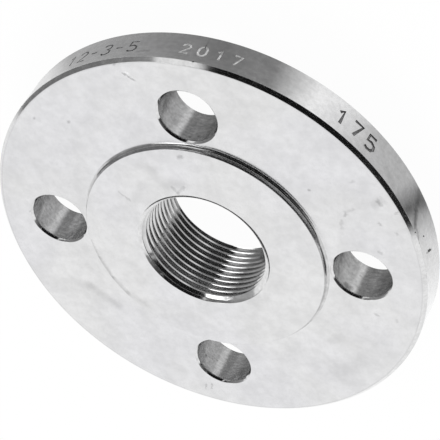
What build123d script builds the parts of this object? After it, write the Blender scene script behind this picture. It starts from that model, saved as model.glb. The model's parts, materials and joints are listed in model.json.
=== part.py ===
from build123d import *
import os
from math import radians, tan

# Threaded flange, one turned piece of stainless steel, in millimetres.
# +Z is the axis of the bore and points out of the raised face. Z = 0 is the end of the hub.

# Disc
flange_d = 140.0
flange_t = 14.0
front_chamfer = 1.1
back_chamfer = 1.0

# Raised sealing face
raised_d = 78.0
raised_h = 2.0
raised_root_chamfer = 0.4
raised_edge = 0.25

# Hub on the pipe side
hub_end_d = 60.0
hub_h = 10.0
hub_draft_deg = 7.0
hub_root_chamfer = 2.2
hub_edge = 1.0

# Bolt holes
bolt_count = 4
bolt_circle_d = 100.0
bolt_hole_d = 18.0
bolt_front_chamfer = 0.95
bolt_back_chamfer = 1.0

# Parallel pipe thread, size 1 1/4, 11 turns to the inch
thread_major_d = 41.91
thread_pitch = 2.309
thread_angle_deg = 55.0
full_depth_pitches = 0.6403   # depth of the full 55 degree form, in pitches
drill_allowance = 0.275       # how much shallower the drilled bore leaves the crests
mouth_front_margin = 0.7      # how far each countersink opens beyond the thread's root
mouth_back_margin = 0.545

# Follows from the sizes above
face_z = hub_h + flange_t
total_h = face_z + raised_h
thread_major_r = thread_major_d / 2
thread_root_flat = thread_pitch / 6
tap_drill_r = thread_major_r - full_depth_pitches * thread_pitch + drill_allowance


def blank_section():
    """Half section of the turned blank, without its bore."""
    hub_end_r = hub_end_d / 2
    hub_root_x = hub_end_r + hub_h * tan(radians(hub_draft_deg))
    flange_r = flange_d / 2
    raised_r = raised_d / 2
    outline = Polyline(
        (0, 0),
        (hub_end_r, 0),
        (hub_root_x, hub_h),
        (flange_r, hub_h),
        (flange_r, face_z),
        (raised_r, face_z),
        (raised_r, total_h),
        (0, total_h),
        close=True,
    )
    section = make_face(outline)

    def corner(x, y):
        return section.vertices().sort_by_distance((x, y, 0))[0]

    section = chamfer(corner(hub_end_r, 0), hub_edge)
    section = chamfer(corner(hub_root_x, hub_h), hub_root_chamfer)
    section = chamfer(corner(flange_r, hub_h), back_chamfer)
    section = chamfer(corner(flange_r, face_z), front_chamfer)
    section = chamfer(corner(raised_r, face_z), raised_root_chamfer)
    return chamfer(corner(raised_r, total_h), raised_edge)


def turned_blank():
    """The blank as it leaves the lathe, solid where the bore will be."""
    return revolve(Plane.XZ * blank_section(), axis=Axis.Z)


def bolt_hole_cutter():
    """One bolt hole with the chamfers at both of its mouths."""
    hole_r = bolt_hole_d / 2
    front = bolt_front_chamfer
    back = bolt_back_chamfer
    low = Align.CENTER, Align.CENTER, Align.MIN
    high = Align.CENTER, Align.CENTER, Align.MAX
    cutter = Cylinder(hole_r, total_h, align=low)
    cutter += Pos(0, 0, face_z) * Cone(hole_r, hole_r + front, front, align=high)
    cutter += Pos(0, 0, hub_h) * Cone(hole_r + back, hole_r, back, align=low)
    return cutter


def mouth_cutter(margin, turn_deg):
    """A 45 degree countersink, opening a margin beyond the thread's root; it points up before the turn."""
    mouth_r = thread_major_r + margin
    cone = Cone(mouth_r, tap_drill_r, mouth_r - tap_drill_r, align=(Align.CENTER, Align.CENTER, Align.MIN))
    return Rot(turn_deg, 0, 0) * cone


def groove_half_width(radius):
    """Half the axial width of the thread groove at a radius, from its root flat and its flanks."""
    slope = tan(radians(thread_angle_deg / 2))
    return thread_root_flat / 2 + (thread_major_r - radius) * slope


def thread_groove():
    """The helical groove that the tap leaves, cut off flush with both ends of the bore."""
    inner_r = tap_drill_r - thread_root_flat
    start_z = -thread_pitch
    length = total_h + 2 * thread_pitch
    inner = groove_half_width(inner_r)
    root = groove_half_width(thread_major_r)
    outline = Polyline(
        (inner_r, start_z - inner),
        (thread_major_r, start_z - root),
        (thread_major_r, start_z + root),
        (inner_r, start_z + inner),
        close=True,
    )
    path = Helix(thread_pitch, length, tap_drill_r, center=(0, 0, start_z))
    groove = sweep(Plane.XZ * make_face(outline), path=path, is_frenet=True)
    slab = Cylinder(flange_d, total_h, align=(Align.CENTER, Align.CENTER, Align.MIN))
    return groove & slab


def threaded_flange():
    """The finished piece: blank, bolt holes, bore, thread and its two countersinks."""
    flange = turned_blank()
    flange -= PolarLocations(bolt_circle_d / 2, bolt_count) * bolt_hole_cutter()
    flange -= Cylinder(tap_drill_r, total_h, align=(Align.CENTER, Align.CENTER, Align.MIN))
    flange -= thread_groove()
    flange -= mouth_cutter(mouth_back_margin, 0)
    flange -= Pos(0, 0, total_h) * mouth_cutter(mouth_front_margin, 180)
    return flange


os.makedirs("parts", exist_ok=True)
export_step(threaded_flange(), "parts/flange.step")
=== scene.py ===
import bpy
import bmesh
import json
import math
import random
from mathutils import Matrix, Vector


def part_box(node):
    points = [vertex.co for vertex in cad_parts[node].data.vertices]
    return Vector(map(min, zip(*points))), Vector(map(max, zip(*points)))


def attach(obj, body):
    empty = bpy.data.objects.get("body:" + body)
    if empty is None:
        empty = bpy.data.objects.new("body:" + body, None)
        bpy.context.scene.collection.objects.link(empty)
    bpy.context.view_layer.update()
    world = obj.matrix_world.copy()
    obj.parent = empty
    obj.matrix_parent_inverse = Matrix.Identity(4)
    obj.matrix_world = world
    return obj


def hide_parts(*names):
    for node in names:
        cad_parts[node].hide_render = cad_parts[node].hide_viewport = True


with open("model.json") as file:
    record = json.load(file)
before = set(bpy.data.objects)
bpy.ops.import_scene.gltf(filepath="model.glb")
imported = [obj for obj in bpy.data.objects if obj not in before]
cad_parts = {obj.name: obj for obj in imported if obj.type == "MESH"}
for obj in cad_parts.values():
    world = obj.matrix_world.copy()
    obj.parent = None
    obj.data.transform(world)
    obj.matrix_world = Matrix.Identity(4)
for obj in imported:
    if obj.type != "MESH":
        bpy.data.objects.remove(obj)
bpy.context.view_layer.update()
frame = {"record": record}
mm = 0.001
mounts = {mount["name"]: mount for mount in frame["record"]["mounts"]}
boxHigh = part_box("flange")[1]
rimRadius = boxHigh.x / mm
topHeight = boxHigh.z / mm
print("frame loaded, rim radius", round(rimRadius, 2), "mm, height", round(topHeight, 2), "mm")


# Small helpers for node trees
def addNode(tree, kind, inputs=None, **settings):
    node = tree.nodes.new(kind)
    for name, value in settings.items():
        setattr(node, name, value)
    for name, value in (inputs or {}).items():
        if isinstance(value, bpy.types.NodeSocket):
            tree.links.new(value, node.inputs[name])
        else:
            node.inputs[name].default_value = value
    return node


def addMath(tree, operation, *values):
    return addNode(tree, "ShaderNodeMath", dict(enumerate(values)), operation=operation).outputs[0]


def addVector(tree, operation, *values):
    return addNode(tree, "ShaderNodeVectorMath", dict(enumerate(values)), operation=operation).outputs


def scaleVector(tree, vector, factor):
    return addNode(tree, "ShaderNodeVectorMath", {0: vector, "Scale": factor}, operation="SCALE").outputs[0]


def addNoise(tree, place, scale, detail, roughness=0.5):
    return addNode(tree, "ShaderNodeTexNoise", {
        "Vector": place, "Scale": scale, "Detail": detail, "Roughness": roughness,
    }).outputs


def swing(tree, value, low, high, toLow, toHigh, **settings):
    # maps a pattern's usual range onto the range that a finish asks for
    return addNode(tree, "ShaderNodeMapRange", {
        "Value": value, "From Min": low, "From Max": high, "To Min": toLow, "To Max": toHigh,
    }, **settings).outputs[0]


def splitPosition(tree):
    position = addNode(tree, "GeometryNodeInputPosition").outputs[0]
    return addNode(tree, "ShaderNodeSeparateXYZ", {"Vector": position}).outputs


def newMaker(name, sizes):
    # a Geometry Nodes tree with named inputs, and the sockets that carry them
    tree = bpy.data.node_groups.new(name, "GeometryNodeTree")
    tree.interface.new_socket("Geometry", in_out="INPUT", socket_type="NodeSocketGeometry")
    for label, kind in sizes.items():
        tree.interface.new_socket(label, in_out="INPUT", socket_type="NodeSocket" + kind)
    tree.interface.new_socket("Geometry", in_out="OUTPUT", socket_type="NodeSocketGeometry")
    return tree, addNode(tree, "NodeGroupInput").outputs


def closeMaker(tree, geometry, material):
    real = addNode(tree, "GeometryNodeRealizeInstances", {"Geometry": geometry})
    skin = addNode(tree, "GeometryNodeSetMaterial", {"Geometry": real.outputs[0], "Material": material})
    addNode(tree, "NodeGroupOutput", {"Geometry": skin.outputs[0]})


# Small helpers for objects and meshes
def addObject(name, data):
    piece = bpy.data.objects.new(name, data)
    bpy.context.scene.collection.objects.link(piece)
    return piece


def addMesh(name, verts, edges=(), faces=()):
    mesh = bpy.data.meshes.new(name)
    mesh.from_pydata(verts, edges, faces)
    return mesh


def resultMesh(piece):
    # the mesh that the piece's modifiers make
    depsgraph = bpy.context.evaluated_depsgraph_get()
    return bpy.data.meshes.new_from_object(piece.evaluated_get(depsgraph))


def faceOutwards(mesh):
    form = bmesh.new()
    form.from_mesh(mesh)
    bmesh.ops.recalc_face_normals(form, faces=form.faces)
    form.to_mesh(mesh)
    form.free()


def runMaker(tree, values, startData):
    # the tree's result as a plain mesh
    holder = addObject(tree.name, startData)
    modifier = holder.modifiers.new("maker", "NODES")
    modifier.node_group = tree
    for item in tree.interface.items_tree:
        if item.in_out == "INPUT" and item.name in values:
            modifier[item.identifier] = values[item.name]
    mesh = resultMesh(holder)
    bpy.data.objects.remove(holder)
    faceOutwards(mesh)
    return mesh


def cutAway(body, cutterMesh):
    cutter = addObject("cutter", cutterMesh)
    modifier = body.modifiers.new("cut", "BOOLEAN")
    modifier.operation = "DIFFERENCE"
    modifier.solver = "MANIFOLD"
    modifier.material_mode = "TRANSFER"
    modifier.object = cutter
    body.data = resultMesh(body)
    body.modifiers.clear()
    bpy.data.objects.remove(cutter)
    print("cut", cutterMesh.name, len(body.data.polygons), "faces")


def onCircle(radius, turn, height):
    # a point in metres, from a radius in mm, an angle in radians and a height in mm
    return (radius * math.cos(turn) * mm, radius * math.sin(turn) * mm, height * mm)


def roundedProfile(corners, steps=4):
    # corners are (radius, height, rounding) in mm; the first and last stay as they are
    points = [Vector(corners[0][:2])]
    for before, corner, after in zip(corners, corners[1:], corners[2:]):
        here = Vector(corner[:2])
        rounding = corner[2]
        toBefore = (Vector(before[:2]) - here).normalized()
        toAfter = (Vector(after[:2]) - here).normalized()
        half = toBefore.angle(toAfter) / 2
        if rounding == 0:
            points.append(here)
            continue
        centre = here + (toBefore + toAfter).normalized() * rounding / math.sin(half)
        start = here + toBefore * rounding / math.tan(half) - centre
        end = here + toAfter * rounding / math.tan(half) - centre
        for step in range(steps + 1):
            points.append(centre + start.lerp(end, step / steps).normalized() * rounding)
    points.append(Vector(corners[-1][:2]))
    return points


def lathe(name, profile, segments, material):
    # turns a profile that starts and ends on the axis into a closed mesh
    verts, rings = [], []
    for radius, height in profile:
        if radius == 0:
            rings.append([len(verts)] * segments)
            verts.append((0, 0, height * mm))
            continue
        rings.append(list(range(len(verts), len(verts) + segments)))
        for step in range(segments):
            verts.append(onCircle(radius, 2 * math.pi * step / segments, height))
    faces = []
    for lower, upper in zip(rings, rings[1:]):
        for step in range(segments):
            nextStep = (step + 1) % segments
            corners = [lower[step], lower[nextStep], upper[nextStep], upper[step]]
            faces.append(list(dict.fromkeys(corners)))
    mesh = addMesh(name, verts, faces=faces)
    mesh.materials.append(material)
    faceOutwards(mesh)
    return mesh


# Marks of handling and a painted shadow line, each a line (mm) that fades out to its reach
def lineMark(start, end, reach, dark):
    return {"from": start, "to": end, "reach": reach, "dark": dark}


def faceMark(height, fromX, fromY, toX, toY, reach, dark):
    return lineMark((fromX, fromY, height), (toX, toY, height), reach, dark)


def rimMark(fromPolar, fromHeight, toPolar, toHeight, reach, dark):
    ends = []
    for polar, height in ((fromPolar, fromHeight), (toPolar, toHeight)):
        turn = math.radians(polar)
        ends.append((rimRadius * math.cos(turn), rimRadius * math.sin(turn), height))
    return lineMark(*ends, reach, dark)


discFace, raisedFace = 24, 26     # heights of the two faces that carry marks
frontMarksAndShadow = [
    faceMark(discFace, 18.5, -62.7, 15.0, -60.8, 0.5, 0.45),
    faceMark(discFace, 17.2, -63.2, 16.6, -62.9, 0.5, -0.25),
    faceMark(discFace, -35.9, -30.4, -35.8, -30.2, 0.7, 0.4),
    faceMark(discFace, -57.7, -31.0, -55.7, -29.0, 2.4, 0.12),
    faceMark(discFace, -46.8, -23.6, -46.0, -22.6, 0.6, 0.3),
    faceMark(discFace, -62.8, -28.0, -61.8, -26.9, 0.6, 0.25),
    faceMark(discFace, 59.1, -1.7, 60.1, -0.5, 0.4, 0.3),
    faceMark(discFace, 7.3, 62.2, 7.7, 64.6, 0.5, 0.3),
    faceMark(discFace, 5.1, 61.6, 5.5, 64.0, 0.5, 0.3),
    faceMark(discFace, -41.0, 28.8, -38.2, 30.2, 3.0, 0.1),
    faceMark(discFace, 39.0, -41.2, 39.6, -40.4, 0.7, 0.3),
    faceMark(discFace, 50.9, -40.3, 51.3, -39.7, 0.6, 0.3),
    faceMark(discFace, 20.4, -65.9, 20.8, -65.3, 0.6, 0.3),
    faceMark(discFace, -56.7, -30.6, -57.3, -29.4, 1.1, 0.3),
    faceMark(discFace, -56.6, -22.2, -57.0, -21.8, 0.9, 0.28),
    faceMark(discFace, -61.7, -19.5, -61.9, -19.3, 0.7, 0.35),
    faceMark(discFace, -56.0, -11.0, -56.8, -10.4, 0.9, 0.2),
    faceMark(discFace, -53.5, 14.8, -54.3, 15.4, 0.9, 0.25),
    faceMark(discFace, -49.7, -36.6, -48.9, -35.8, 0.8, 0.15),
    faceMark(discFace, -60.0, 15.6, -60.2, 16.2, 0.7, 0.15),
    faceMark(raisedFace, 4.0, -25.6, 8.2, -24.2, 3.2, 0.14),
    faceMark(raisedFace, -18.9, 15.4, -14.9, 17.4, 3.6, 0.1),
    faceMark(raisedFace, 2.6, -36.5, 3.4, -36.1, 1.2, 0.3),
    faceMark(raisedFace, 7.2, -23.9, 5.6, -21.7, 0.9, 0.18),
    faceMark(raisedFace, 5.5, -21.9, 3.2, -24.7, 0.9, 0.16),
    faceMark(raisedFace, 13.5, -29.9, 8.3, -20.5, 2.6, 0.05),
    faceMark(raisedFace, 16.8, -22.6, 21.8, -13.6, 2.4, 0.05),
    faceMark(raisedFace, 25.7, -17.9, 22.0, -15.2, 0.6, 0.2),
    faceMark(raisedFace, 20.4, -31.0, 12.5, -29.0, 2.6, 0.05),
    # these four follow the raised face's outer edge: a painted shadow line, not marks of handling
    faceMark(raisedFace, 38.6, 4.6, 36.9, 11.4, 0.9, 0.16),
    faceMark(raisedFace, 36.9, 11.4, 33.4, 19.5, 1.1, 0.22),
    faceMark(raisedFace, 33.4, 19.5, 29.0, 25.2, 1.5, 0.2),
    faceMark(raisedFace, 29.0, 25.2, 23.4, 28.4, 2.2, 0.12),
    faceMark(discFace, 49.3, 26.6, 43.6, 27.4, 3.0, 0.1),
    faceMark(discFace, 43.6, 27.4, 34.6, 33.7, 3.2, 0.14),
    faceMark(discFace, -45.0, -17.4, -45.0, -20.6, 0.8, 0.16),
    faceMark(discFace, -46.4, -24.0, -49.3, -25.9, 0.8, 0.16),
    faceMark(discFace, -38.9, 44.4, -47.3, 36.1, 5.0, 0.09),
]
drillMarks = [
    lineMark((-45.4, 7.7, 22.4), (-44.1, 6.8, 22.2), 1.5, 0.45),
    lineMark((5.25, 57.3, 17.6), (8.2, 53.7, 19.4), 0.5, 0.35),
    lineMark((8.1, 53.9, 19.5), (8.2, 53.7, 19.4), 0.8, 0.4),
    lineMark((-1.6, -41.15, 21.4), (-1.4, -41.1, 21.2), 0.6, 0.5),
    lineMark((0.8, -41.04, 22.0), (1.0, -41.05, 21.9), 0.6, 0.5),
]
rimMarks = [
    rimMark(-158.3, 12.5, -161.8, 21.5, 2.4, 0.3),
    rimMark(-160.0, 18.0, -162.5, 22.0, 1.6, 0.3),
    rimMark(-163.5, 21.5, -165.5, 22.6, 1.0, 0.35),
    rimMark(-146.0, 19.0, -150.0, 21.0, 2.0, 0.1),
    rimMark(-108.0, 14.0, -112.0, 15.0, 2.0, 0.1),
    rimMark(-81.0, 20.0, -78.0, 20.5, 0.8, 0.2),
    rimMark(-171.4, 20.4, -172.8, 16.8, 0.6, 0.5),
]
ragged = {"scale": 1.3, "detail": 3.0, "shift": 1.6}     # the noise that frays a mark's outline


def markDepth(tree, place, marks):
    # how dark the marks make each spot
    noise = addNoise(tree, place, ragged["scale"], ragged["detail"])["Color"]
    shift = addVector(tree, "SUBTRACT", noise, (0.5, 0.5, 0.5))[0]
    shifted = addVector(tree, "MULTIPLY_ADD", shift, (ragged["shift"],) * 3, place)[0]
    total = None
    for mark in marks:
        along = Vector(mark["to"]) - Vector(mark["from"])
        fromStart = addVector(tree, "SUBTRACT", shifted, mark["from"])[0]
        dot = addVector(tree, "DOT_PRODUCT", fromStart, along / along.length_squared)["Value"]
        share = addNode(tree, "ShaderNodeClamp", {"Value": dot}).outputs[0]
        nearest = scaleVector(tree, along, share)
        away = addVector(tree, "DISTANCE", fromStart, nearest)["Value"]
        depth = swing(tree, away, 0, mark["reach"], mark["dark"], 0, interpolation_type="SMOOTHSTEP")
        total = depth if total is None else addMath(tree, "ADD", total, depth)
    return total


# Stainless steel, one recipe with a finish for each way the metal was worked, and darker or paler copies of
# it that carry painted shade and painted sheen
recipe = {
    "usual": (0.35, 0.65),         # the range that most of a noise pattern keeps to
    "lineDetail": 4.0,
    "lineRoughness": 0.65,
    "lineBreaks": 0.05,            # how fast a tool line changes along itself
    "cloudDetail": 5.0,
    "grainDetail": 3.0,
    "grainHeight": 0.5,            # against the height of the tool lines
    "tintScale": 0.03,
    "tintDetail": 2.0,
    "tintRange": (0.42, 0.62),
    "roughRange": (0.4, 0.6),
}


def steel(name, finish, marks=()):
    material = bpy.data.materials.new(name)
    material.use_nodes = True
    tree = material.node_tree
    shader = tree.nodes["Principled BSDF"]
    inMm = scaleVector(tree, addNode(tree, "ShaderNodeTexCoord").outputs["Object"], 1 / mm)
    parts = addNode(tree, "ShaderNodeSeparateXYZ", {"Vector": inMm}).outputs
    level = addNode(tree, "ShaderNodeCombineXYZ", {"X": parts["X"], "Y": parts["Y"]}).outputs[0]
    radius = addVector(tree, "LENGTH", level)["Value"]

    # tool lines run round the axis, across the radius on a face and across the height on a wall
    onFace = finish["linesOn"] == "face"
    breaks = finish.get("lineBreaks", recipe["lineBreaks"])
    linePlace = addNode(tree, "ShaderNodeCombineXYZ", {
        "X": addMath(tree, "MULTIPLY", radius if onFace else parts["Z"], finish["linesPerMm"]),
        "Y": addMath(tree, "MULTIPLY", parts["X"], breaks),
        "Z": addMath(tree, "MULTIPLY", parts["Y"], breaks),
    }).outputs[0]
    lines = addNoise(tree, linePlace, 1.0, recipe["lineDetail"], recipe["lineRoughness"])[0]
    cloud = addNoise(tree, inMm, finish["cloudScale"], recipe["cloudDetail"])[0]
    grain = addNoise(tree, inMm, finish["grainScale"], recipe["grainDetail"])[0]

    tones = []
    for pattern, depth in (
        (cloud, finish["cloudDepth"]), (lines, finish["lineDepth"]), (grain, finish["grainDepth"]),
    ):
        tones.append(swing(tree, pattern, *recipe["usual"], 1 - depth, 1 + depth / 2))
    if "groove" in finish:
        # painted shade: the thread's cut turns darker from its crest to its root
        groove = finish["groove"]
        tones.append(swing(tree, radius, groove["from"], groove["to"], 1, groove["tone"]))
    if "paintedEdgeShade" in finish:
        # painted shade: a fine darker line where a face ends in its chamfer
        paintedEdgeShade = finish["paintedEdgeShade"]
        away = addMath(tree, "ABSOLUTE", addMath(tree, "SUBTRACT", radius, paintedEdgeShade["radius"]))
        tones.append(swing(
            tree, away, 0, paintedEdgeShade["reach"], paintedEdgeShade["tone"], 1, interpolation_type="SMOOTHSTEP",
        ))
    if marks:
        tones.append(addMath(tree, "SUBTRACT", 1.0, markDepth(tree, inMm, marks)))
    tone = tones[0]
    for nextTone in tones[1:]:
        tone = addMath(tree, "MULTIPLY", tone, nextTone)

    tint = addNoise(tree, inMm, recipe["tintScale"], recipe["tintDetail"])[0]
    colour = addNode(tree, "ShaderNodeMix", {
        "Factor": swing(tree, tint, *recipe["tintRange"], 0, 1),
        6: (*finish["colour"], 1),
        7: (*finish["tint"], 1),
    }, data_type="RGBA").outputs[2]
    tree.links.new(scaleVector(tree, colour, tone), shader.inputs["Base Color"])
    shader.inputs["Metallic"].default_value = finish.get("metallic", 1.0)
    if "anisotropy" in finish:
        # tool lines spread the light across themselves and hardly along themselves
        upright = addNode(tree, "ShaderNodeCombineXYZ", {"Z": 1.0}).outputs[0]
        tree.links.new(level if onFace else upright, shader.inputs["Tangent"])
        shader.inputs["Anisotropic"].default_value = finish["anisotropy"]

    mixed = addMath(tree, "MULTIPLY", addMath(tree, "ADD", cloud, lines), 0.5)
    smoothest = finish["roughness"] - finish["roughSwing"]
    roughest = finish["roughness"] + finish["roughSwing"]
    rough = swing(tree, mixed, *recipe["roughRange"], smoothest, roughest)
    tree.links.new(rough, shader.inputs["Roughness"])
    height = addMath(tree, "ADD", lines, addMath(tree, "MULTIPLY", grain, recipe["grainHeight"]))
    bump = addNode(tree, "ShaderNodeBump", {
        "Height": height, "Strength": 1.0, "Distance": finish["lineHeight"] * mm,
    })
    tree.links.new(bump.outputs[0], shader.inputs["Normal"])
    return material


# The parallel pipe thread's own sizes, which its finish needs too
threadPitch = 2.309
thread = {
    "pitch": threadPitch,
    "crestRadius": mounts["pipe_thread"]["dims"]["r_mm"],
    "rootRadius": 20.955,
    "flankAngle": math.radians(27.5),
    "rootFlat": threadPitch / 12,     # half of the flat at the groove's root
    "crestRounding": 0.08,
    "rootRounding": 0.29,
    "startHeight": -0.5,              # how far the helix is moved along the axis
    "turnsBelow": 2.0,                # how many turns under the hub's end the helix starts
    "spareTurns": 3,                  # turns added, so that it ends above the cutter
    "columns": 200,
    "overrun": 1.0,
    "weld": 0.002,
}
facedSteel = steel("facedSteel", {
    "colour": (0.775, 0.775, 0.778), "tint": (0.76, 0.76, 0.775), "roughness": 0.18, "roughSwing": 0.04,
    "linesOn": "face", "linesPerMm": 1.4, "lineDepth": 0.01, "lineHeight": 0.0006,
    "cloudScale": 0.11, "cloudDepth": 0.06, "grainScale": 0.4, "grainDepth": 0.045,
    # painted shade line where the face meets its front chamfer
    "paintedEdgeShade": {"radius": 68.75, "reach": 0.5, "tone": 0.9},
}, frontMarksAndShadow)
cutSteel = steel("cutSteel", {
    "colour": (0.77, 0.77, 0.772), "tint": (0.76, 0.76, 0.765), "roughness": 0.13, "roughSwing": 0.03,
    "linesOn": "wall", "linesPerMm": 2.0, "lineDepth": 0.04, "lineHeight": 0.0004, "anisotropy": 0.6,
    "cloudScale": 0.3, "cloudDepth": 0.08, "grainScale": 1.2, "grainDepth": 0.06,
})
# the raised face's wall: a darker copy of the steel, painted shade
wallSteel = steel("wallSteel", {
    "colour": (0.66, 0.66, 0.662), "tint": (0.64, 0.64, 0.645), "roughness": 0.13, "roughSwing": 0.03,
    "linesOn": "wall", "linesPerMm": 2.0, "lineDepth": 0.1, "lineHeight": 0.001, "anisotropy": 0.6,
    "cloudScale": 0.3, "cloudDepth": 0.16, "grainScale": 0.8, "grainDepth": 0.1,
})
rimSteel = steel("rimSteel", {
    "colour": (0.74, 0.74, 0.742), "tint": (0.73, 0.73, 0.735), "roughness": 0.2, "roughSwing": 0.04,
    "linesOn": "wall", "linesPerMm": 1.3, "lineDepth": 0.05, "lineHeight": 0.001, "anisotropy": 0.9,
    "cloudScale": 0.1, "cloudDepth": 0.08, "grainScale": 0.7, "grainDepth": 0.08,
}, rimMarks)
drilledSteel = steel("drilledSteel", {
    "colour": (0.72, 0.72, 0.72), "tint": (0.7, 0.7, 0.705), "roughness": 0.2, "roughSwing": 0.05,
    "linesOn": "wall", "linesPerMm": 1.3, "lineDepth": 0.16, "lineHeight": 0.02, "lineBreaks": 0.35,
    "cloudScale": 0.25, "cloudDepth": 0.12, "grainScale": 0.9, "grainDepth": 0.16, "anisotropy": 0.6,
}, drillMarks)
threadSteel = steel("threadSteel", {
    "colour": (0.72, 0.72, 0.72), "tint": (0.7, 0.7, 0.705), "roughness": 0.1, "roughSwing": 0.02,
    "linesOn": "wall", "linesPerMm": 2.5, "lineDepth": 0.06, "lineHeight": 0.0006, "anisotropy": 0.5,
    "cloudScale": 0.2, "cloudDepth": 0.08, "grainScale": 0.9, "grainDepth": 0.06,
    # painted shade, darker towards the groove's root
    "groove": {"from": thread["crestRadius"] + 0.05, "to": thread["rootRadius"] - 0.2, "tone": 0.85},
})
stampedLines = {
    "linesOn": "wall", "linesPerMm": 2.0, "lineDepth": 0.05, "lineHeight": 0.001, "roughSwing": 0.05,
    "cloudScale": 0.5, "cloudDepth": 0.3, "grainScale": 1.5, "grainDepth": 0.2,
}
# a pale, dull copy of the steel for the 2017 strokes: painted sheen that makes them read light
shallowSteel = steel("shallowSteel", stampedLines | {
    "colour": (0.8, 0.8, 0.8), "tint": (0.76, 0.76, 0.765), "roughness": 0.45, "metallic": 0.15,
})
# a dark copy of the steel for the deeper stamps and the dents: painted shade in their hollows
stampedSteel = steel("stampedSteel", stampedLines | {
    "colour": (0.3, 0.3, 0.3), "tint": (0.28, 0.28, 0.285), "roughness": 0.4,
})
print("materials made")

# The turned blank: disc, raised face and hub, with its sharp edges just broken
blank = {
    "segments": 288,
    "discBack": mounts["bolt_seat"]["pos_m"][2] / mm,
    "raisedHeight": 2.0,
    "frontChamfer": 1.1,
    "backChamfer": 1.0,
    "raisedRadius": 39.0,
    "raisedEdge": 0.16,
    "raisedRoot": 1.4,
    "hubEndRadius": 30.0,
    "hubDraft": math.radians(7),
    "hubRoot": 3.0,
    "hubEdge": 1.0,
    "edgeBreak": 0.15,
    "lineHeight": 1.45,       # of the fine turned line in the raised face's wall, above the disc
    "lineDepth": 0.05,
    "rimSlack": 0.05,         # how close to the rim's radius a face of the rim is
    "backSlack": 0.01,        # how far below the disc's back a face of the hub is
    "wallTilt": 0.2,          # how much a wall's normal may lean up or down
}
discFront = topHeight - blank["raisedHeight"]


def blankProfile():
    back, fine = blank["discBack"], blank["edgeBreak"]
    hub, hubEdge = blank["hubEndRadius"], blank["hubEdge"]
    flare = math.tan(blank["hubDraft"])
    raised, raisedEdge = blank["raisedRadius"], blank["raisedEdge"]
    lineHeight, lineDepth = blank["lineHeight"], blank["lineDepth"]
    return roundedProfile([
        (0, 0, 0),
        (hub - hubEdge, 0, fine),
        (hub + hubEdge * flare, hubEdge, fine),
        (hub + back * flare, back, blank["hubRoot"]),
        (rimRadius - blank["backChamfer"], back, fine),
        (rimRadius, back + blank["backChamfer"], fine),
        (rimRadius, discFront - blank["frontChamfer"], fine),
        (rimRadius - blank["frontChamfer"], discFront, fine),
        (raised, discFront, blank["raisedRoot"]),
        (raised, discFront + lineHeight - lineDepth, 0),
        (raised - lineDepth, discFront + lineHeight, 0),
        (raised, discFront + lineHeight + lineDepth, 0),
        (raised, topHeight, raisedEdge),
        (0, topHeight, 0),
    ])


flangeBody = addObject("flangeBody", lathe("flangeBody", blankProfile(), blank["segments"], facedSteel))
flangeBody.data.materials.append(rimSteel)
for face in flangeBody.data.polygons:
    onRim = math.hypot(*face.center.xy) > (rimRadius - blank["rimSlack"]) * mm
    onHub = face.center.z < (blank["discBack"] - blank["backSlack"]) * mm
    isWall = abs(face.normal.z) < blank["wallTilt"]
    face.material_index = 1 if (onRim or onHub) and isWall else 0
print("blank turned")

# Bolt holes, one cutter copied round the bolt circle
boltHoles = {
    "count": int(mounts["bolt_holes"]["dims"]["count"]),
    "circleRadius": mounts["bolt_holes"]["dims"]["pcd_mm"] / 2,
    "radius": mounts["bolt_holes"]["dims"]["hole_r_mm"],
    "frontChamfer": 0.68,
    "backChamfer": 0.8,
    "mouthRounding": 0.15,
    "wallRounding": 0.42,
    "lip": 0.16,          # the cutter's rim over the face, short enough to clear the raised face's root
    "flare": 0.004,       # keeps that rim just off the faces
    "overrun": 2.0,
    "segments": 96,
}


def boltHoleProfile():
    radius, over = boltHoles["radius"], boltHoles["overrun"]
    lip, flare = boltHoles["lip"], boltHoles["flare"]
    back = blank["discBack"]
    backMouth = radius + boltHoles["backChamfer"]
    frontMouth = radius + boltHoles["frontChamfer"]
    return roundedProfile([
        (0, back - over, 0),
        (backMouth + lip, back - over, 0),
        (backMouth + lip, back - flare, 0),
        (backMouth, back, boltHoles["mouthRounding"]),
        (radius, back + boltHoles["backChamfer"], boltHoles["wallRounding"]),
        (radius, discFront - boltHoles["frontChamfer"], boltHoles["wallRounding"]),
        (frontMouth, discFront, boltHoles["mouthRounding"]),
        (frontMouth + lip, discFront + flare, 0),
        (frontMouth + lip, discFront + over, 0),
        (0, discFront + over, 0),
    ])


boltMaker, boltSizes = newMaker("boltHoles", {"Holes": "Int", "Circle Radius": "Float", "Cutter": "Object"})
circle = addNode(boltMaker, "GeometryNodeMeshCircle", {
    "Vertices": boltSizes["Holes"], "Radius": boltSizes["Circle Radius"],
})
cutterShape = addNode(boltMaker, "GeometryNodeObjectInfo", {"Object": boltSizes["Cutter"]})
copies = addNode(boltMaker, "GeometryNodeInstanceOnPoints", {
    "Points": circle.outputs[0], "Instance": cutterShape.outputs["Geometry"],
})
closeMaker(boltMaker, copies.outputs[0], drilledSteel)
drill = addObject("drill", lathe("drill", boltHoleProfile(), boltHoles["segments"], drilledSteel))
boltCutter = runMaker(boltMaker, {
    "Holes": boltHoles["count"], "Circle Radius": boltHoles["circleRadius"] * mm, "Cutter": drill,
}, addMesh("boltHoles", []))
bpy.data.objects.remove(drill)
cutAway(flangeBody, boltCutter)


# The thread, as the tap that cuts it: one groove's outline, wound up the helix
def grooveOutline():
    # from the middle of one land to the middle of the next, x is the radius and y the height in mm
    crest, root, flat = thread["crestRadius"], thread["rootRadius"], thread["rootFlat"]
    mouth = flat + (root - crest) * math.tan(thread["flankAngle"])
    half = thread["pitch"] / 2
    return roundedProfile([
        (crest, -half, 0),
        (crest, -mouth, thread["crestRounding"]),
        (root, -flat, thread["rootRounding"]),
        (root, flat, thread["rootRounding"]),
        (crest, mouth, thread["crestRounding"]),
        (crest, half, 0),
    ])


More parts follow.
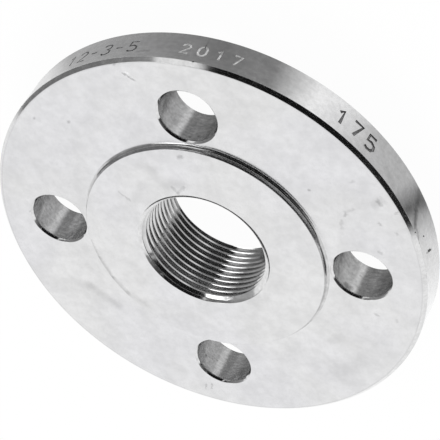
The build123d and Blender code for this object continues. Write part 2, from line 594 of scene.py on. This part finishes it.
outlinePoints = grooveOutline()
grooveShape = addObject("grooveOutline", addMesh(
    "grooveOutline", [(radius * mm, height * mm, 0) for radius, height in outlinePoints],
))

tapMaker, tapSizes = newMaker("tap", {
    "Groove": "Object", "Rows": "Int", "Pitch": "Float", "Crest Radius": "Float",
    "Start Height": "Float", "Bottom": "Float", "Top": "Float", "Turns": "Int", "Columns": "Int",
})


def tapMath(operation, *values):
    return addMath(tapMaker, operation, *values)


# a flat sheet whose columns go round and whose rows go along the outline, turn after turn
rowCount = tapMath("MULTIPLY", tapSizes["Turns"], tapSizes["Rows"])
sheet = addNode(tapMaker, "GeometryNodeMeshGrid", {
    "Size X": 1.0, "Size Y": 1.0,
    "Vertices X": tapMath("ADD", tapSizes["Columns"], 1.0),
    "Vertices Y": tapMath("ADD", rowCount, 1.0),
})
onSheet = splitPosition(tapMaker)
turnShare = tapMath("ADD", onSheet["X"], 0.5)
turned = tapMath("MULTIPLY", turnShare, 2 * math.pi)
row = tapMath("ROUND", tapMath("MULTIPLY", tapMath("ADD", onSheet["Y"], 0.5), rowCount))
whole = tapMath("FLOOR", tapMath("DIVIDE", row, tapSizes["Rows"]))
station = tapMath("SUBTRACT", row, tapMath("MULTIPLY", whole, tapSizes["Rows"]))
groovePoints = addNode(tapMaker, "GeometryNodeObjectInfo", {"Object": tapSizes["Groove"]})
grooveSample = addNode(tapMaker, "GeometryNodeSampleIndex", {
    "Geometry": groovePoints.outputs["Geometry"], "Index": station,
    "Value": addNode(tapMaker, "GeometryNodeInputPosition").outputs[0],
}, data_type="FLOAT_VECTOR")
onOutline = addNode(tapMaker, "ShaderNodeSeparateXYZ", {"Vector": grooveSample.outputs[0]})

# rows beyond the cutter's ends are gathered on the rims of those ends
turnsUp = tapMath("SUBTRACT", tapMath("ADD", whole, turnShare), thread["turnsBelow"])
rise = tapMath("ADD", tapMath("MULTIPLY", turnsUp, tapSizes["Pitch"]), tapSizes["Start Height"])
height = tapMath("ADD", rise, onOutline.outputs["Y"])
below = tapMath("LESS_THAN", height, tapSizes["Bottom"])
above = tapMath("GREATER_THAN", height, tapSizes["Top"])
shownRadius = addNode(tapMaker, "ShaderNodeMix", {
    "Factor": tapMath("MAXIMUM", below, above), "A": onOutline.outputs["X"], "B": tapSizes["Crest Radius"],
}).outputs[0]
onTap = addNode(tapMaker, "ShaderNodeCombineXYZ", {
    "X": tapMath("MULTIPLY", shownRadius, tapMath("COSINE", turned)),
    "Y": tapMath("MULTIPLY", shownRadius, tapMath("SINE", turned)),
    "Z": tapMath("MINIMUM", tapMath("MAXIMUM", height, tapSizes["Bottom"]), tapSizes["Top"]),
})
wound = addNode(tapMaker, "GeometryNodeSetPosition", {
    "Geometry": sheet.outputs[0], "Position": onTap.outputs[0],
})
tapParts = addNode(tapMaker, "GeometryNodeJoinGeometry")
for tapEnd in ("Bottom", "Top"):
    cap = addNode(tapMaker, "GeometryNodeMeshCircle", {
        "Vertices": tapSizes["Columns"], "Radius": tapSizes["Crest Radius"],
    }, fill_type="NGON")
    lift = addNode(tapMaker, "ShaderNodeCombineXYZ", {"Z": tapSizes[tapEnd]})
    placed = addNode(tapMaker, "GeometryNodeTransform", {
        "Geometry": cap.outputs[0], "Translation": lift.outputs[0],
    })
    tapMaker.links.new(placed.outputs[0], tapParts.inputs[0])
tapMaker.links.new(wound.outputs[0], tapParts.inputs[0])
welded = addNode(tapMaker, "GeometryNodeMergeByDistance", {
    "Geometry": tapParts.outputs[0], "Distance": thread["weld"] * mm,
})
closeMaker(tapMaker, welded.outputs[0], threadSteel)
tapMesh = runMaker(tapMaker, {
    "Groove": grooveShape, "Rows": len(outlinePoints) - 1, "Columns": thread["columns"],
    "Pitch": thread["pitch"] * mm, "Crest Radius": thread["crestRadius"] * mm,
    "Start Height": thread["startHeight"] * mm,
    "Bottom": -thread["overrun"] * mm, "Top": (topHeight + thread["overrun"]) * mm,
    "Turns": math.ceil((topHeight + 2 * thread["overrun"]) / thread["pitch"]) + thread["spareTurns"],
}, addMesh("tap", []))
bpy.data.objects.remove(grooveShape)
cutAway(flangeBody, tapMesh)

# Countersinks at both mouths of the bore
mouths = {
    "front": {"margin": 0.64, "run": math.radians(25), "height": topHeight, "outward": 1},
    "back": {"margin": 0.545, "run": math.radians(45), "height": 0, "outward": -1},
    "inside": 0.4,        # how far the cutter goes on inside the crests
    "rounding": 0.35,
    "overrun": 1.0,
    "flare": 0.004,
    "segments": 180,
}


def mouthProfile(mouth):
    # a 45 degree bevel down to the groove's root, then a run over the crests at its own angle to the face
    root, inside = thread["rootRadius"], thread["crestRadius"] - mouths["inside"]
    height, outward, margin = mouth["height"], mouth["outward"], mouth["margin"]
    over, flare = mouths["overrun"], mouths["flare"]
    depth = margin + (root - inside) * math.tan(mouth["run"])
    return roundedProfile([
        (0, height - outward * depth, 0),
        (inside, height - outward * depth, 0),
        (root, height - outward * margin, 0),
        (root + margin, height, mouths["rounding"]),
        (root + margin + over, height + outward * flare, 0),
        (root + margin + over, height + outward * over, 0),
        (0, height + outward * over, 0),
    ])


for end in ("front", "back"):
    cutAway(flangeBody, lathe(end + "Mouth", mouthProfile(mouths[end]), mouths["segments"], facedSteel))

# Plain numbers stamped in the rim: strokes drawn flat, then wrapped round the rim and sunk into it
digitStrokes = {
    # corners of each stroke, in shares of the number's height
    "0": [
        (0.3, 1), (0.5, 0.93), (0.6, 0.7), (0.6, 0.3), (0.5, 0.07), (0.3, 0),
        (0.1, 0.07), (0, 0.3), (0, 0.7), (0.1, 0.93), (0.3, 1),
    ],
    "1": [(0.1, 0.76), (0.34, 1), (0.34, 0)],
    "2": [(0, 0.78), (0.08, 0.94), (0.3, 1), (0.52, 0.92), (0.6, 0.74), (0.52, 0.55), (0, 0), (0.62, 0)],
    "3": [
        (0, 0.88), (0.15, 0.99), (0.4, 1), (0.57, 0.88), (0.55, 0.64), (0.3, 0.53),
        (0.56, 0.42), (0.6, 0.18), (0.42, 0.02), (0.15, 0), (0, 0.12),
    ],
    "5": [
        (0.56, 1), (0.06, 1), (0.03, 0.56), (0.32, 0.62), (0.56, 0.48), (0.6, 0.24),
        (0.45, 0.04), (0.18, 0), (0, 0.1),
    ],
    "7": [(0, 1), (0.6, 1), (0.22, 0)],
    "-": [(0.05, 0.5), (0.5, 0.5)],
}
# the dark steel in the strokes is painted shade, the pale steel is painted sheen
stamps = [
    {
        "text": "12-3-5", "start": -56.0, "middle": 17.7, "tall": 4.6, "pitch": 4.6,
        "stroke": 0.32, "sink": 0.06, "finish": stampedSteel,
    },
    {
        "text": "2017", "start": -88.8, "middle": 17.7, "tall": 4.0, "pitch": 5.2,
        "stroke": 0.4, "sink": 0.14, "finish": shallowSteel,
    },
    {
        "text": "175", "start": -128.8, "middle": 17.1, "tall": 5.2, "pitch": 5.7,
        "stroke": 0.55, "sink": 0.05, "finish": stampedSteel,
    },
]

stampMaker, stampSizes = newMaker("stampedNumbers", {
    "Rim Radius": "Float", "Sink": "Float", "Stroke Radius": "Float",
    "Start Angle": "Float", "Middle Height": "Float",
})
strokeLines = addNode(stampMaker, "GeometryNodeMeshToCurve", {"Mesh": stampSizes["Geometry"]})
onPlane = splitPosition(stampMaker)
alongRim = addMath(stampMaker, "DIVIDE", onPlane["X"], stampSizes["Rim Radius"])
angle = addMath(stampMaker, "SUBTRACT", stampSizes["Start Angle"], alongRim)
strokeRadius = addMath(stampMaker, "ADD", stampSizes["Rim Radius"], stampSizes["Sink"])
onRim = addNode(stampMaker, "ShaderNodeCombineXYZ", {
    "X": addMath(stampMaker, "MULTIPLY", strokeRadius, addMath(stampMaker, "COSINE", angle)),
    "Y": addMath(stampMaker, "MULTIPLY", strokeRadius, addMath(stampMaker, "SINE", angle)),
    "Z": addMath(stampMaker, "SUBTRACT", stampSizes["Middle Height"], onPlane["Y"]),
})
wrapped = addNode(stampMaker, "GeometryNodeSetPosition", {
    "Geometry": strokeLines.outputs[0], "Position": onRim.outputs[0],
})
tip = addNode(stampMaker, "GeometryNodeCurvePrimitiveCircle", {
    "Resolution": 8, "Radius": stampSizes["Stroke Radius"],
})
strokes = addNode(stampMaker, "GeometryNodeCurveToMesh", {
    "Curve": wrapped.outputs[0], "Profile Curve": tip.outputs[0], "Fill Caps": True,
})
closeMaker(stampMaker, strokes.outputs[0], stampedSteel)


def flatNumbers(stamp):
    # the strokes of one group as lines in a plane, x along the rim and y up
    verts, edges = [], []
    for place, letter in enumerate(stamp["text"]):
        for step, (x, y) in enumerate(digitStrokes[letter]):
            if step:
                edges.append((len(verts) - 1, len(verts)))
            across = place * stamp["pitch"] + x * stamp["tall"]
            verts.append((across * mm, (y - 0.5) * stamp["tall"] * mm, 0))
    return addMesh("flatNumbers", verts, edges)


for stamp in stamps:
    numbers = runMaker(stampMaker, {
        "Rim Radius": rimRadius * mm, "Sink": stamp["sink"] * mm, "Stroke Radius": stamp["stroke"] * mm,
        "Start Angle": math.radians(stamp["start"]), "Middle Height": stamp["middle"] * mm,
    }, flatNumbers(stamp))
    numbers.materials.clear()
    numbers.materials.append(stamp["finish"])
    cutAway(flangeBody, numbers)

# Small dents: a few seen in the photograph, the rest scattered round the disc's front edge
dents = {
    # angle in degrees, radius, height and size
    "seen": [
        (-172.2, 70.1, 17.9, 0.62), (-171.8, 70.1, 19.0, 0.45),
        (-172.7, 70.1, 16.9, 0.4), (-167.0, 70.12, 19.2, 0.36),
    ],
    "scattered": 12,
    "small": 0.25,
    "large": 0.5,
    "out": 0.5,                    # share of a dent's size that it stands off the edge
    "over": 0.3,                   # height over the disc's front of a dent in its inner edge
    "stretch": (1.0, 0.7, 1.5),
    "seed": 7,
}


def dentPoints():
    # one vertex for each dent, with its size
    draw = random.Random(dents["seed"])
    places = list(dents["seen"])
    for _ in range(dents["scattered"]):
        reach = draw.uniform(dents["small"], dents["large"])
        edgeRadius = rimRadius - draw.choice((0.0, blank["frontChamfer"])) + reach * dents["out"]
        edgeHeight = discFront + dents["over"]
        if edgeRadius >= rimRadius:
            edgeHeight = discFront - blank["frontChamfer"]
        places.append((draw.uniform(-180, 180), edgeRadius, edgeHeight, reach))
    mesh = addMesh("dentPoints", [
        onCircle(radius, math.radians(polar), height) for polar, radius, height, _ in places
    ])
    reaches = [reach * mm for *_, reach in places]
    mesh.attributes.new("reach", "FLOAT", "POINT").data.foreach_set("value", reaches)
    return mesh


dentMaker, dentSizes = newMaker("dents", {"Seed": "Int"})
ball = addNode(dentMaker, "GeometryNodeMeshIcoSphere", {"Radius": 1.0, "Subdivisions": 3})
reach = addNode(dentMaker, "GeometryNodeInputNamedAttribute", {"Name": "reach"}, data_type="FLOAT")
turnEach = addNode(dentMaker, "FunctionNodeRandomValue", {
    0: (0, 0, 0), 1: (2 * math.pi,) * 3, "Seed": dentSizes["Seed"],
}, data_type="FLOAT_VECTOR")
scattered = addNode(dentMaker, "GeometryNodeInstanceOnPoints", {
    "Points": dentSizes["Geometry"], "Instance": ball.outputs[0],
    "Rotation": turnEach.outputs[0], "Scale": scaleVector(dentMaker, dents["stretch"], reach.outputs[0]),
})
# the dents take the dark steel: painted shade in them
closeMaker(dentMaker, scattered.outputs[0], stampedSteel)
cutAway(flangeBody, runMaker(dentMaker, {"Seed": dents["seed"]}, dentPoints()))

# The finer cut of the chamfers and countersinks, and the rougher one of the raised face's wall, which is
# also a darker copy of the steel: painted shade
worked = {
    "pastRoot": 0.1,             # how far the wall's finish goes on past its root
    "wallTilt": 0.985,           # upright part of the normal, up to which a face is the wall's
    "cutTilts": (0.3, 0.98),     # and between which it is a chamfer's
}
flangeBody.data.materials.append(cutSteel)
flangeBody.data.materials.append(wallSteel)
shadedWallPlace = len(flangeBody.data.materials) - 1
cutPlace = shadedWallPlace - 1
for face in flangeBody.data.polygons:
    finish = flangeBody.data.materials[face.material_index]
    tilt = abs(face.normal.z)
    fromWall = abs(math.hypot(*face.center.xy) / mm - blank["raisedRadius"])
    if fromWall < blank["raisedRoot"] + worked["pastRoot"]:
        if finish == facedSteel and tilt < worked["wallTilt"]:
            face.material_index = shadedWallPlace
    elif finish in (facedSteel, drilledSteel) and worked["cutTilts"][0] < tilt < worked["cutTilts"][1]:
        face.material_index = cutPlace

# Shading: smooth round the turned surfaces, with the flat faces kept flat
shading = {"weld": 0.0005, "sharp": math.radians(32)}


def finishMesh(piece):
    form = bmesh.new()
    form.from_mesh(piece.data)
    bmesh.ops.remove_doubles(form, verts=form.verts, dist=shading["weld"] * mm)
    print("open edges", sum(not edge.is_manifold for edge in form.edges))
    print("volume in cm3", round(form.calc_volume() * 1e6, 3))
    form.to_mesh(piece.data)
    form.free()
    piece.data.shade_smooth()
    piece.data.set_sharp_from_angle(angle=shading["sharp"])
    weigh = piece.modifiers.new("weigh", "WEIGHTED_NORMAL")
    weigh.keep_sharp = True
    piece.data = resultMesh(piece)
    piece.modifiers.clear()
    piece.data.name = piece.name


finishMesh(flangeBody)
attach(flangeBody, "root")
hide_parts("flange")
print("flange body", sum(len(face.vertices) - 2 for face in flangeBody.data.polygons), "triangles")

# Studio: pale floor, soft lamp, white surround, and cards that only the metal's reflections see
camera = {
    "lens": 157.376,
    "sensor": 36.0,
    "near": 0.05,
    "far": 20.0,
    "place": (-203.824, -388.123, 412.441),
    "aim": (-0.102, -0.722, 12.249),
    "roll": math.radians(150.084),
    "side": 27.739,      # degrees that the view turns off the Y axis
}
lampSettings = {"size": 0.9, "energy": 12, "turn": 150, "elevation": 55}
studio = {
    "reach": 1.6,            # distance of the cards and the lamp
    "floorSize": 8.0,
    "clearRadius": 72,       # of the floor that the metal sees through, to the cards below it
    "floorSheet": 0.9,
    "whiteShare": 0.97,      # how much of the floor's paint gives way to white where it is seen directly
    "surround": 0.75,
}


def addStage(name, verts, faces, material, reflectedOnly=True):
    mesh = addMesh(name, verts, faces=faces)
    mesh.materials.append(material)
    piece = addObject(name, mesh)
    if reflectedOnly:
        piece.visible_camera = False
        piece.visible_diffuse = False
        piece.visible_shadow = False
        piece.visible_transmission = False
    return piece


# one light for all the cards: each card's mesh says its tone, and its cover where its edge fades out
cardGlow = bpy.data.materials.new("cardGlow")
cardGlow.use_nodes = True
glowTree = cardGlow.node_tree
glowTree.nodes.clear()
cardTone = addNode(glowTree, "ShaderNodeAttribute", attribute_name="tone").outputs["Fac"]
cardCover = addNode(glowTree, "ShaderNodeAttribute", attribute_name="cover").outputs["Fac"]
cardLight = addNode(glowTree, "ShaderNodeEmission", {"Color": (1, 1, 1, 1), "Strength": cardTone}).outputs[0]
cardClear = addNode(glowTree, "ShaderNodeBsdfTransparent").outputs[0]
cardShown = addNode(glowTree, "ShaderNodeMixShader", {
    "Fac": cardCover, 1: cardClear, 2: cardLight,
}).outputs[0]
addNode(glowTree, "ShaderNodeOutputMaterial", {"Surface": cardShown})


def addCard(name, verts, faces, tones, covers):
    piece = addStage(name, verts, faces, cardGlow)
    piece.data.attributes.new("tone", "FLOAT", "POINT").data.foreach_set("value", tones)
    piece.data.attributes.new("cover", "FLOAT", "POINT").data.foreach_set("value", covers)


def skyPoint(turn, elevation):
    # turn is measured from the camera's side, positive to the picture's right
    level = math.radians(camera["side"] + turn)
    rise = math.radians(elevation)
    flat = math.cos(rise) * studio["reach"]
    return (-math.sin(level) * flat, -math.cos(level) * flat, math.sin(rise) * studio["reach"])


def skyCard(name, card, steps=8, rows=24):
    # a curtain on the sky: at each turn its low and high elevation and its tone
    columns = []
    for before, after in zip(card["edges"], card["edges"][1:]):
        for step in range(steps):
            columns.append([first + (second - first) * step / steps for first, second in zip(before, after)])
    columns.append(card["edges"][-1])
    verts, faces, tones, covers = [], [], [], []
    for row in range(rows + 1):
        for turn, low, high, tone in columns:
            elevation = low + (high - low) * row / rows
            inside = min(elevation - low, high - elevation)
            if not card.get("closed"):
                inside = min(inside, turn - columns[0][0], columns[-1][0] - turn)
            verts.append(skyPoint(turn, elevation))
            tones.append(tone)
            covers.append(min(1, max(0, inside / card["soft"])))
    wide = len(columns)
    for row in range(rows):
        for column in range(wide - 1):
            first = row * wide + column
            faces.append((first, first + 1, first + wide + 1, first + wide))
    addCard(name, verts, faces, tones, covers)


def evenTone(tone, edges):
    # the edges of a card that has one tone
    return [(turn, low, high, tone) for turn, low, high in edges]


def evenBand(low, high, tones):
    # the edges of a card between two level lines
    return [(turn, low, high, tone) for turn, tone in tones]


skyCards = {
    "wallCard": {"soft": 1.0, "edges": [
        (-46, 28, 60, 0.008), (0, 26, 61, 0.008), (42, 22, 60, 0.01), (46, 22, 40, 0.01), (84, 16, 38, 0.02),
    ]},
    "shoulderCard": {"soft": 1.0, "edges": [(44, 38, 60, 0.03), (60, 37, 60, 0.1), (86, 36, 56, 0.3)]},
    "leftLowCard": {"soft": 1.5, "edges": [
        (-133, -8, 12, 0.18), (-120, -3, 20, 0.2), (-105, 6, 26, 0.2),
        (-90, 14, 30, 0.2), (-76, 21, 34, 0.24), (-64, 27, 38, 0.3),
    ]},
    "leftHighCard": {"soft": 1.5, "edges": [
        (-150, 36, 56, 0.3), (-133, 34, 56, 0.4), (-120, 18, 56, 0.42), (-111, 22, 54, 0.34),
        (-105, 24, 52, 0.28), (-90, 28, 52, 0.25), (-80, 32, 52, 0.2),
        (-76, 33, 60, 0.2), (-64, 37, 62, 0.15), (-46, 44, 60, 0.03),
    ]},
    "overheadCard": {"soft": 1.0, "edges": evenTone(0.012, [
        (-100, 73, 80), (-86, 70, 89.5), (-83, 54, 89.5), (-50, 54, 89.5),
        (-46, 59, 89.5), (0, 60, 89.5), (78, 58, 89.5), (105, 57, 89.5),
    ])},
    "zenithCard": {"soft": 1.0, "edges": evenTone(0.012, [
        (105, 57, 89.5), (122, 63, 89.5), (180, 63, 89.5), (225, 66, 89.5), (260, 75, 89.5),
    ])},
    "horizonCard": {"soft": 2.0, "edges": [
        (-120, -8, -4, 0.25), (-105, -8, 5, 0.25), (-90, -8, 13, 0.22), (-76, -8, 20, 0.2),
        (-64, -8, 26, 0.18), (-46, -7, 27, 0.14), (-27, -7, 26, 0.1), (0, -7, 25, 0.04),
        (20, -7, 23, 0.25), (54, -7, 19, 0.27), (77, -7, 16, 0.16), (104, -7, 12, 0.14),
    ]},
    "brightCard": {"soft": 0.7, "edges": [
        (-111, 54, 66, 1.6), (-104, 53, 71, 2.6), (-98, 53, 73, 3.0), (-88, 54, 70, 3.0),
    ]},
    "underCard": {"soft": 3.0, "closed": True, "edges": evenBand(-85, -33, [
        (-180, 0.16), (-110, 0.14), (-84, 0.22), (-24, 0.27), (-18, 0.28), (-3, 0.86),
        (8, 0.86), (25, 0.6), (75, 0.5), (110, 0.2), (180, 0.2),
    ])},
    "lowCard": {"soft": 3.0, "closed": True, "edges": evenBand(-34, -8, [
        (-180, 0.2), (-90, 0.3), (-68, 0.4), (-60, 0.9), (-49, 0.9),
        (-44, 0.04), (64, 0.04), (74, 0.9), (90, 0.9), (180, 0.2),
    ])},
}
for cardName, card in skyCards.items():
    skyCard(cardName, card)

# A toned ring on the floor round the disc, which the rim mirrors and only reflections see: a painted
# reflection of the floor's shade; angle from the camera's side, tone
roundPaper = {"inside": studio["clearRadius"], "outside": 150, "lift": 0.1, "segments": 240, "tones": [
    (-180, 0.75), (-100, 1.05), (-84, 0.95), (-74, 0.55), (-50, 0.4), (-26, 0.24),
    (-8, 0.28), (-1, 0.75), (6, 1.15), (16, 1.0), (26, 0.66), (42, 0.62),
    (50, 0.12), (54, 0.5), (62, 0.88), (88, 1.2), (110, 1.2), (180, 0.75),
]}


def toneAt(tones, angle):
    for (before, first), (after, second) in zip(tones, tones[1:]):
        if before <= angle <= after:
            return first + (second - first) * (angle - before) / (after - before)
    return tones[-1][1]


# a glowing ring seen only in reflections: painted reflection
def makePaintedReflection(name, floorSheet):
    verts, faces, tones = [], [], []
    segments = floorSheet["segments"]
    for edge in ("inside", "outside"):
        for step in range(segments):
            angle = -180 + 360 * step / segments
            level = math.radians(camera["side"] + angle)
            across, along = -floorSheet[edge] * math.sin(level), -floorSheet[edge] * math.cos(level)
            verts.append((across * mm, along * mm, floorSheet["lift"] * mm))
            tones.append(toneAt(floorSheet["tones"], angle))
    for step in range(segments):
        nextStep = (step + 1) % segments
        faces.append((step, nextStep, segments + nextStep, segments + step))
    addCard(name, verts, faces, tones, [1.0] * len(tones))


makePaintedReflection("roundPaper", roundPaper)


def makeFloor():
    half = studio["floorSize"] / 2
    material = bpy.data.materials.new("floorPaint")
    material.use_nodes = True
    tree = material.node_tree
    tree.nodes.clear()
    rays = addNode(tree, "ShaderNodeLightPath").outputs
    pale = (studio["floorSheet"],) * 3 + (1,)
    paint = addNode(tree, "ShaderNodeBsdfDiffuse", {"Color": pale}).outputs[0]
    white = addNode(tree, "ShaderNodeEmission", {"Color": (1, 1, 1, 1), "Strength": 1.0}).outputs[0]
    seenDirectly = addMath(tree, "MAXIMUM", rays["Is Camera Ray"], rays["Is Glossy Ray"])
    share = addMath(tree, "MULTIPLY", seenDirectly, studio["whiteShare"])
    both = addNode(tree, "ShaderNodeMixShader", {"Fac": share, 1: paint, 2: white}).outputs[0]
    # under the disc the metal mirrors the card below the floor
    place = addNode(tree, "ShaderNodeTexCoord").outputs["Object"]
    fromAxis = addVector(tree, "LENGTH", place)["Value"]
    underDisc = addMath(tree, "LESS_THAN", fromAxis, studio["clearRadius"] * mm)
    seenThrough = addMath(tree, "MULTIPLY", underDisc, rays["Is Glossy Ray"])
    clear = addNode(tree, "ShaderNodeBsdfTransparent").outputs[0]
    shown = addNode(tree, "ShaderNodeMixShader", {"Fac": seenThrough, 1: both, 2: clear}).outputs[0]
    addNode(tree, "ShaderNodeOutputMaterial", {"Surface": shown})
    corners = [(-half, -half, 0), (half, -half, 0), (half, half, 0), (-half, half, 0)]
    addStage("floor", corners, [(0, 1, 2, 3)], material, reflectedOnly=False)


makeFloor()

world = bpy.data.worlds.new("surround")
bpy.context.scene.world = world
world.use_nodes = True
worldTree = world.node_tree
rays = addNode(worldTree, "ShaderNodeLightPath").outputs
seenDirectly = addMath(worldTree, "MAXIMUM", rays["Is Camera Ray"], rays["Is Glossy Ray"])
strength = swing(worldTree, seenDirectly, 0, 1, studio["surround"], 1.0)
worldTree.links.new(strength, worldTree.nodes["Background"].inputs["Strength"])
worldTree.nodes["Background"].inputs["Color"].default_value = (1, 1, 1, 1)

lampData = bpy.data.lights.new("keyLamp", "AREA")
lampData.shape = "DISK"
lampData.size = lampSettings["size"]
lampData.energy = lampSettings["energy"]
lamp = addObject("keyLamp", lampData)
lamp.location = Vector(skyPoint(lampSettings["turn"], lampSettings["elevation"]))
lamp.rotation_euler = (-lamp.location).to_track_quat("-Z", "Y").to_euler()
lamp.visible_glossy = False

cameraData = bpy.data.cameras.new("camera")
cameraData.lens = camera["lens"]
cameraData.sensor_width = camera["sensor"]
cameraData.clip_start = camera["near"]
cameraData.clip_end = camera["far"]
cameraObject = addObject("camera", cameraData)
place, aim = Vector(camera["place"]) * mm, Vector(camera["aim"]) * mm
upright = (aim - place).to_track_quat("-Z", "Y").to_matrix().to_4x4()
cameraObject.matrix_world = Matrix.Translation(place) @ upright @ Matrix.Rotation(-camera["roll"], 4, "Z")
bpy.context.scene.camera = cameraObject
bpy.context.scene.view_settings.view_transform = "Standard"
print("studio set")
